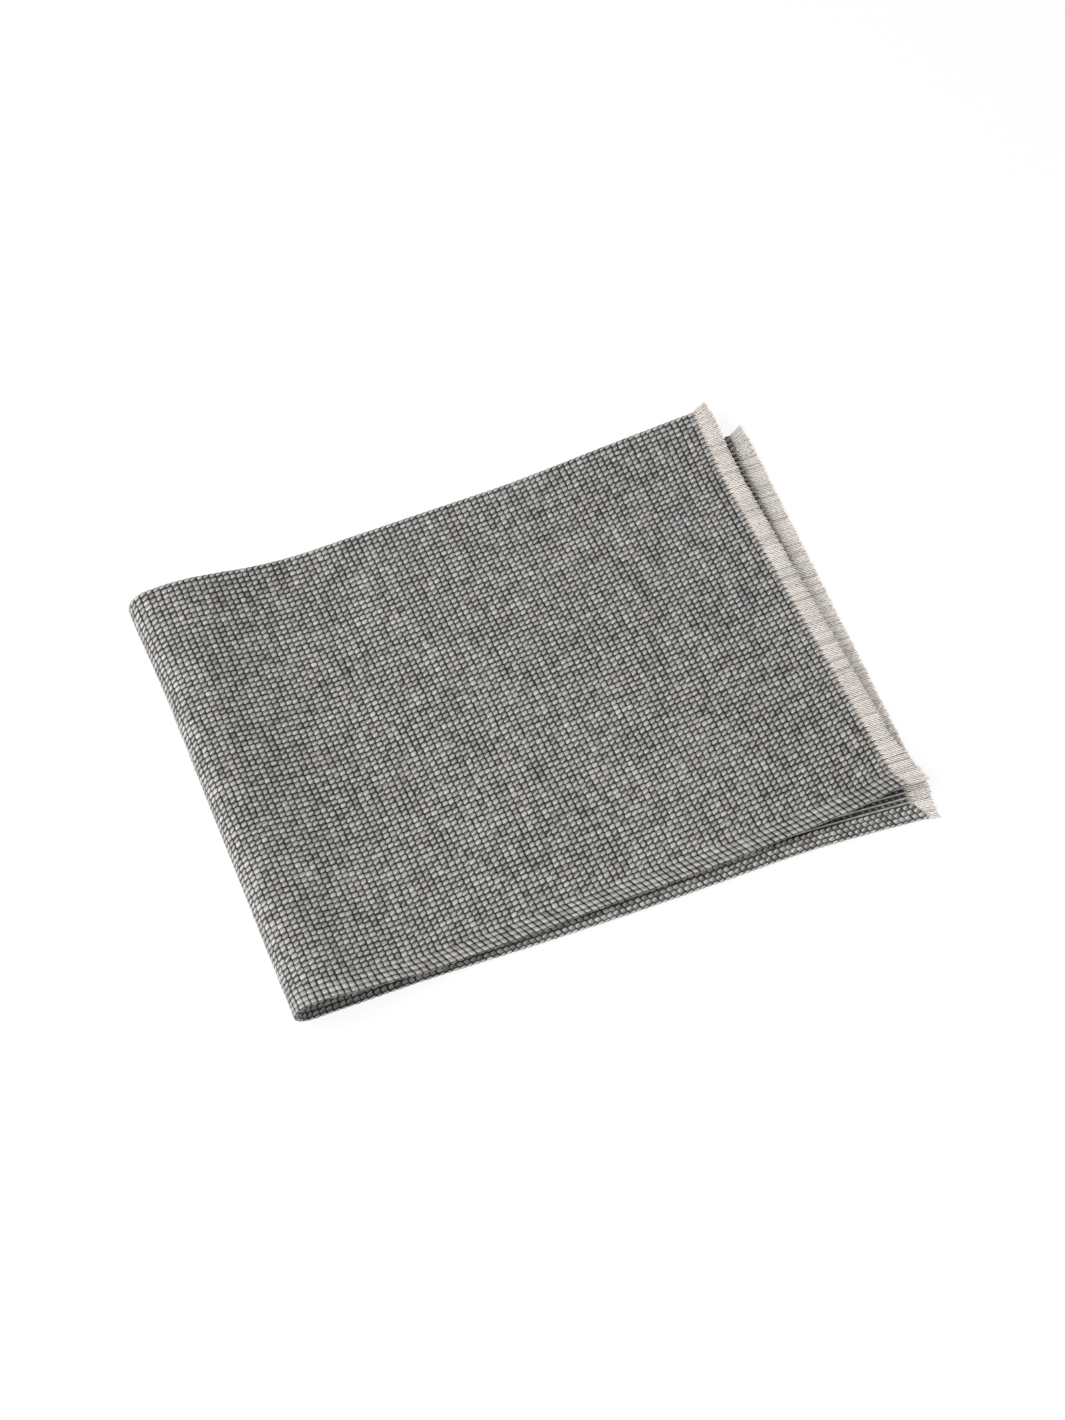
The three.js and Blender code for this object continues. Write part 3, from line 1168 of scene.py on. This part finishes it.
        # painted shade: darker towards the cross yarn's rims
        tone = np.clip(tone, *self.bridge_tone_limits) * (self.painted_bridge_rim_shade + (1 - self.painted_bridge_rim_shade) * dome)
        net = net_quads(len(self.bridge_stations), len(self.bridge_stations), turned_over=True)
        quads = net[None] + len(s) * np.arange(len(column))[:, None, None]
        u = column - run.first + self.bridge_column[0] + self.bridge_column[1] * s
        v = run.index + self.bridge_lane[0] + self.bridge_lane[1] * t
        return places, quads.reshape(-1, 4), tone, u / (run.last - run.first), v

    def plan(self) -> MeshPlan:
        """Works out the ribs on the inner face and the cross yarns between them.

        Returns:
            The plan of the piece.
        """
        random, runs = np.random.default_rng(self.seed), self.runs()
        points, faces, shades, flats = [], [], [], []
        made = 0
        for run in runs:
            for shape in (self.rib, self.bridges):
                places, quads, tone, u, v = shape(random, run)
                u, v = np.broadcast_arrays(u, v / len(runs))
                points.append(places.reshape(-1, 3))
                faces.append(made + quads)
                shades.append(tone.ravel())
                flats.append(np.stack([u, v], -1).reshape(-1, 2))
                made += len(points[-1])
        quads = np.concatenate(faces)
        return MeshPlan(
            points=np.concatenate(points),
            quads=quads,
            uvs={"OFBake": np.concatenate(flats)[quads.ravel()]},
            values={"shade": np.concatenate(shades), "tint": np.zeros(made)},
        )


@dataclass(frozen=True)
class FringeCorner:
    """How the fringe is shaped at a corner, a row for each place counted in bundles from the corner."""

    # bundles, splay, longer
    rows: tuple

    def read(self, column: int, bundles: float) -> float:
        """Reads a column of the table some bundles away from the corner."""
        table = np.array(self.rows, float)
        return float(smooth_curve(table[:, 0], table[:, column])(bundles))

    def splay(self, bundles: float) -> float:
        """Gives how far a bundle splays across the cloth."""
        return self.read(1, bundles)

    def longer(self, bundles: float) -> float:
        """Gives how much longer a thread is than at the middle of the fringe."""
        return self.read(2, bundles)


@dataclass(frozen=True)
class Bundle:
    """One bundle of threads: the row of the weave that it grows from, and how it differs."""

    row: int
    fan: float
    length: float
    lean: float
    tone: float
    root: float


@dataclass(frozen=True)
class Fringe(WovenPiece):
    """The self fringe of one woven end: a bundle of loose threads for each row of the weave."""

    end: End
    near_corner: FringeCorner
    far_corner: FringeCorner
    seed: int
    length: float = 11.6
    thread: float = 0.86
    tucked: float = 0.5
    tucked_spread: float = 0.9
    lower_root_spread: float = 1.2
    lower_drop: float = 0.35
    lower_drop_length: float = 5
    sides: int = 5
    stations: int = 12
    gather: float = 0.74
    gather_length: float = 3.5
    spread: float = 0.27
    corner_fan: float = 0.05
    bundle_length_spread: float = 0.16
    bundle_lean_spread: float = 0.2
    bundle_tone_spread: float = 0.05
    length_spread: float = 0.2
    lean_limit: float = 1.4
    lean_curve: float = 1.2
    swing: float = 0.14
    phase_spread: float = 6.28
    side_wave: float = 1.7
    deep_wave: float = 0.9
    deep_sway: tuple[float, float] = (0.05, 0.4)
    twist_wave: float = 2.6
    twist_tone: float = 0.03
    swell: float = 0.06
    swell_wave: float = 14
    tone: float = 1.04
    tone_spread: float = 0.2
    # painted shadow near the woven end, fading out over root_shadow
    painted_root_shadow: float = 0.45
    root_shadow: tuple[float, float] = (-0.6, 1.4)
    # painted shade on the threads that lie under the top layer
    painted_under_shade: float = 0.5
    under_layer: float = 0.8
    tint_spread: float = 0.12
    # past this share of the length, this share of the radius
    taper: tuple = ((0.85, 0.82), (0.97, 0.4))
    # across, deep, in thread widths
    places: tuple = (
        (-1.36, 0.5),
        (0.0, 0.5),
        (1.36, 0.5),
        (-1.8, 1.2),
        (-0.68, 1.25),
        (0.68, 1.25),
        (1.8, 1.2),
    )
    # along, across, on the flat map
    tip_flat: tuple = ((0.975, 0.1), (0.99, 0.1), (0.98, 0.8))
    flat_share: float = 0.97

    def bundle(self, random: np.random.Generator, row: int) -> Bundle:
        """Draws one bundle.

        Args:
            random: Where the unevenness comes from.
            row: The row of the weave that it grows from.

        Returns:
            The bundle.
        """
        near, far = self.near_corner.splay(row), self.far_corner.splay(self.weave.rows - 1 - row)
        return Bundle(
            row=row,
            fan=1 + self.corner_fan * (abs(near) + abs(far)),
            length=self.length + self.bundle_length_spread * random.normal(),
            lean=near + far + self.bundle_lean_spread * random.normal(),
            tone=random.normal(1, self.bundle_tone_spread),
            root=random.uniform(0, self.lower_root_spread) if self.end is End.LOWER else 0.0,
        )

    def thread_rings(
        self,
        random: np.random.Generator,
        bundle: Bundle,
        place: tuple[float, float],
    ) -> tuple[np.ndarray, np.ndarray, float]:
        """Works out one thread as a slim wavy tube that narrows to its tip.

        Args:
            random: Where the unevenness comes from.
            bundle: The thread's bundle.
            place: Where it lies in the bundle, across and deep.

        Returns:
            The rings of the tube, the shade of each ring, and the thread's tint.
        """
        across_place, deep = place
        pitch, travel = self.weave.row_pitch(self.form), np.linspace(0, 1, self.stations)
        tucked = self.tucked + random.uniform(0, self.tucked_spread) + bundle.root
        from_near = bundle.row + across_place * self.thread / pitch
        from_far = self.weave.rows - 1 - from_near
        longer = self.near_corner.longer(from_near) + self.far_corner.longer(from_far)
        length = bundle.length + longer + self.length_spread * random.normal() + tucked
        reach = travel * length - tucked
        swing = random.normal(0, self.swing, 2)
        phase = random.uniform(0, self.phase_spread, 2)

        opened = smoothstep(reach, 0, self.gather_length)
        gather = self.gather + (self.spread * bundle.fan + bundle.fan - 1) * opened
        middle = (bundle.row + 0.5) * pitch - self.form.width / 2
        lean = bundle.lean * np.clip(reach / self.length, 0, self.lean_limit) ** self.lean_curve
        across = middle + across_place * self.thread * gather + lean
        across = across + swing[0] * np.sin(reach * self.side_wave + phase[0])
        sway = self.deep_sway[0] + self.deep_sway[1] * abs(swing[1])
        depth = deep * self.thread + sway * np.sin(reach * self.deep_wave + phase[1])
        depth = np.maximum(depth, self.thread / 2)
        if self.end is End.LOWER:
            drop = self.lower_drop * smoothstep(reach, 0, self.lower_drop_length)
            depth = np.maximum(self.form.thickness - depth - drop, self.thread / 2)
        radius = self.thread / 2 * (1.0 + self.swell * np.sin(travel * self.swell_wave + phase[0]))
        width = np.ones(self.stations)
        for start, share in self.taper:
            width = np.where(travel > start, share, width)
        rings = self.rings(reach, across, depth, radius * width)

        twist = self.twist_tone * np.sin(reach * self.twist_wave + phase[1])
        tone = bundle.tone * random.normal(self.tone, self.tone_spread) + twist
        # painted shadow: darker near the woven end
        tone = tone * (self.painted_root_shadow + (1 - self.painted_root_shadow) * smoothstep(reach, *self.root_shadow))
        # painted shade on the under-threads
        tone = tone - self.painted_under_shade * (deep > self.under_layer)
        return rings, tone, random.normal(0.0, self.tint_spread)

    def rings(
        self,
        reach: np.ndarray,
        across: np.ndarray,
        depth: np.ndarray,
        radius: np.ndarray,
    ) -> np.ndarray:
        """Lays rings of points round a thread's middle line.

        Args:
            reach: How far out of the woven end each ring lies.
            across: Its distance across the cloth.
            depth: Its depth.
            radius: Its radius.

        Returns:
            The points of each ring.
        """
        turn = np.arange(self.sides) / self.sides * 2 * math.pi
        ring_across = across[:, None] + radius[:, None] * np.cos(turn)
        ring_depth = depth[:, None] - radius[:, None] * np.sin(turn)
        woven_end = self.form.upper_length if self.end is End.UPPER else self.form.lower_end
        along = woven_end + self.end.value * reach[:, None] + 0 * ring_across
        return self.form.in_cloth(along, ring_across, ring_depth)

    def faces(self, count: int) -> tuple[np.ndarray, np.ndarray, np.ndarray]:
        """Gives the faces of all the threads, and their corners on the flat map.

        Args:
            count: How many threads there are.

        Returns:
            The quads of the sides, the triangles of the tips, and the corners of both.
        """
        i, j = np.meshgrid(np.arange(self.stations - 1), np.arange(self.sides), indexing="ij")
        i, j = i.ravel(), j.ravel()
        here, ahead, following = i * self.sides, (i + 1) * self.sides, (j + 1) % self.sides
        quads = np.stack([here + j, ahead + j, ahead + following, here + following], 1)
        last = (self.stations - 1) * self.sides
        tips = np.array([[last, last + m, last + m + 1] for m in range(1, self.sides - 1)])

        thread = np.arange(count)[:, None]
        travel, lanes = np.linspace(0, 1, self.stations) * self.flat_share, self.sides + 1
        low, high = (thread + (j + 0.05) / lanes) / count, (thread + (j + 1) / lanes) / count
        start, end = (np.broadcast_to(travel[k], low.shape).ravel() for k in (i, i + 1))
        side_flats = rectangle_corners(start, end, low.ravel(), high.ravel())
        spot, slot = np.array(self.tip_flat), np.arange(len(tips))[:, None]
        tip_across = (thread[:, :, None] + (slot + spot[:, 1]) / len(tips)) / count
        tip_flats = np.stack(np.broadcast_arrays(spot[:, 0], tip_across), -1)
        if self.end is End.LOWER:
            quads, tips, side_flats = quads[:, ::-1], tips[:, ::-1], side_flats[:, ::-1]
        starts = thread[:, :, None] * self.stations * self.sides
        flats = np.concatenate([side_flats.reshape(-1, 2), tip_flats.reshape(-1, 2)])
        return (starts + quads).reshape(-1, 4), (starts + tips).reshape(-1, 3), flats

    def plan(self) -> MeshPlan:
        """Works out every thread of every bundle.

        Returns:
            The plan of the piece.
        """
        random = np.random.default_rng(self.seed)
        points, shades, tints = [], [], []
        for row in range(self.weave.rows):
            bundle = self.bundle(random, row)
            for place in self.places:
                rings, tone, tint = self.thread_rings(random, bundle, place)
                points.append(rings.reshape(-1, 3))
                shades.append(np.repeat(tone, self.sides))
                tints.append(np.full(len(points[-1]), tint))
        quads, tips, flats = self.faces(len(points))
        return MeshPlan(
            points=np.concatenate(points),
            quads=quads,
            triangles=tips,
            uvs={"OFBake": flats},
            values={"shade": np.concatenate(shades), "tint": np.concatenate(tints)},
        )


@dataclass(frozen=True)
class Studio:
    """A plain pale floor, soft light and the camera."""

    azimuth: float = -23.5
    elevation: float = 59.0
    distance: float = 1.812
    looks_at: tuple[float, float, float] = (0.00008, 0.0008, 0.0)
    # focal length as a share of the frame's taller side
    focal_share: float = 3000 / 1420
    sensor: float = 36.0
    white: tuple[float, float, float, float] = (1, 1, 1, 1)
    floor_side: float = 8.0
    floor_drop: float = 0.0002
    floor_colour: tuple[float, float, float, float] = (0.8, 0.8, 0.8, 1)
    floor_roughness: float = 0.9
    floor_glow: float = 1.05
    floor_glow_share: float = 0.85
    fill: float = 0.38
    key_place: tuple[float, float, float] = (-1.45, 0.5, 1.05)
    key_size: float = 1.1
    key_energy: float = 40.0
    front_place: tuple[float, float, float] = (0.35, -1.5, 0.6)
    front_size: float = 1.0
    front_energy: float = 14.0

    def build_camera(self) -> None:
        """Stands the camera above and in front of the towel."""
        data = bpy.data.cameras.new("camera")
        data.sensor_width = self.sensor
        data.lens = self.sensor * self.focal_share
        camera = bpy.data.objects.new("camera", data)
        bpy.context.scene.collection.objects.link(camera)
        a, e = math.radians(self.azimuth), math.radians(self.elevation)
        back = Vector((math.sin(a) * math.cos(e), -math.cos(a) * math.cos(e), math.sin(e)))
        camera.location = Vector(self.looks_at) + back * self.distance
        camera.rotation_euler = (-back).to_track_quat("-Z", "Y").to_euler()
        bpy.context.scene.camera = camera

    def build_floor(self) -> None:
        """Lays a wide pale floor that keeps the towel's soft shadow."""
        bpy.ops.object.select_all(action="DESELECT")
        bpy.ops.mesh.primitive_plane_add(size=self.floor_side, location=(0, 0, -self.floor_drop))
        floor = bpy.context.object
        floor.name = "floor"
        material = bpy.data.materials.new("pale_floor")
        material.use_nodes = True
        tree = material.node_tree
        surface = tree.nodes["Principled BSDF"]
        surface.inputs["Base Color"].default_value = self.floor_colour
        surface.inputs["Roughness"].default_value = self.floor_roughness
        surface.inputs["Specular IOR Level"].default_value = 0
        glow = tree.nodes.new("ShaderNodeEmission")
        glow.inputs["Color"].default_value = self.white
        glow.inputs["Strength"].default_value = self.floor_glow
        both = tree.nodes.new("ShaderNodeMixShader")
        path = tree.nodes.new("ShaderNodeLightPath")
        share = math_node(tree, "MULTIPLY", path.outputs["Is Camera Ray"], self.floor_glow_share)
        tree.links.new(share, both.inputs["Fac"])
        tree.links.new(surface.outputs[0], both.inputs[1])
        tree.links.new(glow.outputs[0], both.inputs[2])
        tree.links.new(both.outputs[0], tree.nodes["Material Output"].inputs["Surface"])
        floor.data.materials.append(material)

    def build_light(self) -> None:
        """Sets soft light from all round, a large soft lamp at the back left and a weak one in front."""
        world = bpy.data.worlds.new("studio")
        bpy.context.scene.world = world
        world.use_nodes = True
        tree = world.node_tree
        sky = tree.nodes["Background"]
        sky.inputs["Color"].default_value = self.white
        path = tree.nodes.new("ShaderNodeLightPath")
        strength = range_node(tree, path.outputs["Is Camera Ray"], {"To Min": self.fill, "To Max": 1})
        tree.links.new(strength, sky.inputs["Strength"])
        self.lamp("key", self.key_place, self.key_size, self.key_energy)
        self.lamp("front", self.front_place, self.front_size, self.front_energy)

    def lamp(self, name: str, place: tuple[float, float, float], size: float, energy: float) -> None:
        """Hangs a square soft lamp that points at the towel.

        Args:
            name: Its name.
            place: Where it hangs, in metres.
            size: Its side, in metres.
            energy: Its power, in watts.
        """
        data = bpy.data.lights.new(name, "AREA")
        data.shape = "SQUARE"
        data.size = size
        data.energy = energy
        lamp = bpy.data.objects.new(name, data)
        bpy.context.scene.collection.objects.link(lamp)
        lamp.location = place
        lamp.rotation_euler = (-Vector(place)).to_track_quat("-Z", "Y").to_euler()

    def build(self) -> None:
        """Builds the camera, floor and light."""
        self.build_camera()
        self.build_floor()
        self.build_light()
        bpy.context.scene.view_settings.view_transform = "Standard"


@dataclass(frozen=True)
class Towel:
    """The whole towel: ground cloth, floats, ribs and fringes."""

    form: FoldedCloth = FoldedCloth()
    weave: Weave = Weave()

    def float_fields(self) -> list[FloatField]:
        """Lists the fields of floats: the upper layer and fold in two halves, the underside and the hems.

        Returns:
            The fields.
        """
        rows, columns, hem = self.weave.rows, self.weave.columns, self.weave.hem_rows
        under_fold = -self.form.fold_arc - self.form.lower_end
        first_upper = int(under_fold / self.weave.column_pitch(self.form)) - 1
        fine = FloatShape()
        plain = FloatShape(long_stations=(-1.0, -0.4, 0.4, 1.0), wide_stations=(-1.0, -0.45, 0.45, 1.0))
        upper, lower, whole = range(first_upper, columns), range(0, first_upper), range(columns)
        fields = (
            ("floats_near", fine, upper, range(0, rows // 2), 11),
            ("floats_far", fine, upper, range(rows // 2, rows), 12),
            ("floats_underside", plain, lower, range(0, rows), 13),
            ("hem_floats_near", fine, whole, range(-hem, 0), 14),
            ("hem_floats_far", fine, whole, range(rows, rows + hem), 15),
        )
        return [FloatField(name, self.form, self.weave, *values) for name, *values in fields]

    def fringes(self) -> dict[str, Fringe]:
        """Lists the two fringes.

        Returns:
            Each fringe by the solid that it replaces.
        """
        upper_near = FringeCorner(((0, -1.0, 2.0), (2, -0.8, 4.0), (5, -0.4, 2.4), (10, 0, 0)))
        upper_far = FringeCorner(((0, 5.2, -0.8), (3, 2.8, 0), (8, 0, 0)))
        lower_near = FringeCorner(((0, -0.8, -4.4), (2, -0.7, -0.6), (6, -0.3, 2.5), (13, 0, 0)))
        lower_far = FringeCorner(((0, 6.2, -1.0), (3, 3.4, 0), (8, 0, 0)))
        form, weave = self.form, self.weave
        upper = Fringe("fringe_upper_threads", form, weave, End.UPPER, upper_near, upper_far, 31, length=12.2)
        lower = Fringe("fringe_lower_threads", form, weave, End.LOWER, lower_near, lower_far, 32)
        return {"fringe_upper": upper, "fringe_lower": lower}

    def build(self) -> None:
        """Builds every piece, dresses it and ties it to the frame."""
        float_yarn = YarnMaterial(YarnFinish("float_yarn", light="#cbc9c5", dark="#111111")).build()
        # the ground's colours are partly dark cross yarns and partly painted shade between the floats
        ground_yarn_and_painted_shade = GroundMaterial(YarnFinish("ground_yarn_and_painted_shade", light="#464542", dark="#0c0c0c")).build()
        fringe_finish = YarnFinish(
            "fringe_yarn", light="#fff9f3", dark="#6d6259", warm="#c9a98f", cool="#a9b3a6", sheen=0.2
        )
        fringe_yarn = YarnMaterial(fringe_finish).build()

        ground = GroundCloth("ground_cloth", self.form, self.weave).build(ground_yarn_and_painted_shade)
        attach(ground, "root")
        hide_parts("cloth")
        cloth_pieces = [piece.build(float_yarn) for piece in self.float_fields()]
        cloth_pieces.append(ReverseRibs("reverse_ribs", self.form, self.weave).build(float_yarn))
        for piece in cloth_pieces:
            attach(piece, "root")
        fringes = []
        for node, plan in self.fringes().items():
            fringe = plan.build(fringe_yarn)
            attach(fringe, "root")
            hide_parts(node)
            fringes.append(fringe)
        for piece in [ground, *cloth_pieces, *fringes]:
            triangles = sum(len(face.vertices) - 2 for face in piece.data.polygons)
            log.info("%s: %d triangles", piece.name, triangles)


def main() -> None:
    """Builds the towel and the studio."""
    logging.basicConfig(level=logging.INFO, format="%(message)s")
    Towel().build()
    Studio().build()


if __name__ == "__main__":
    main()
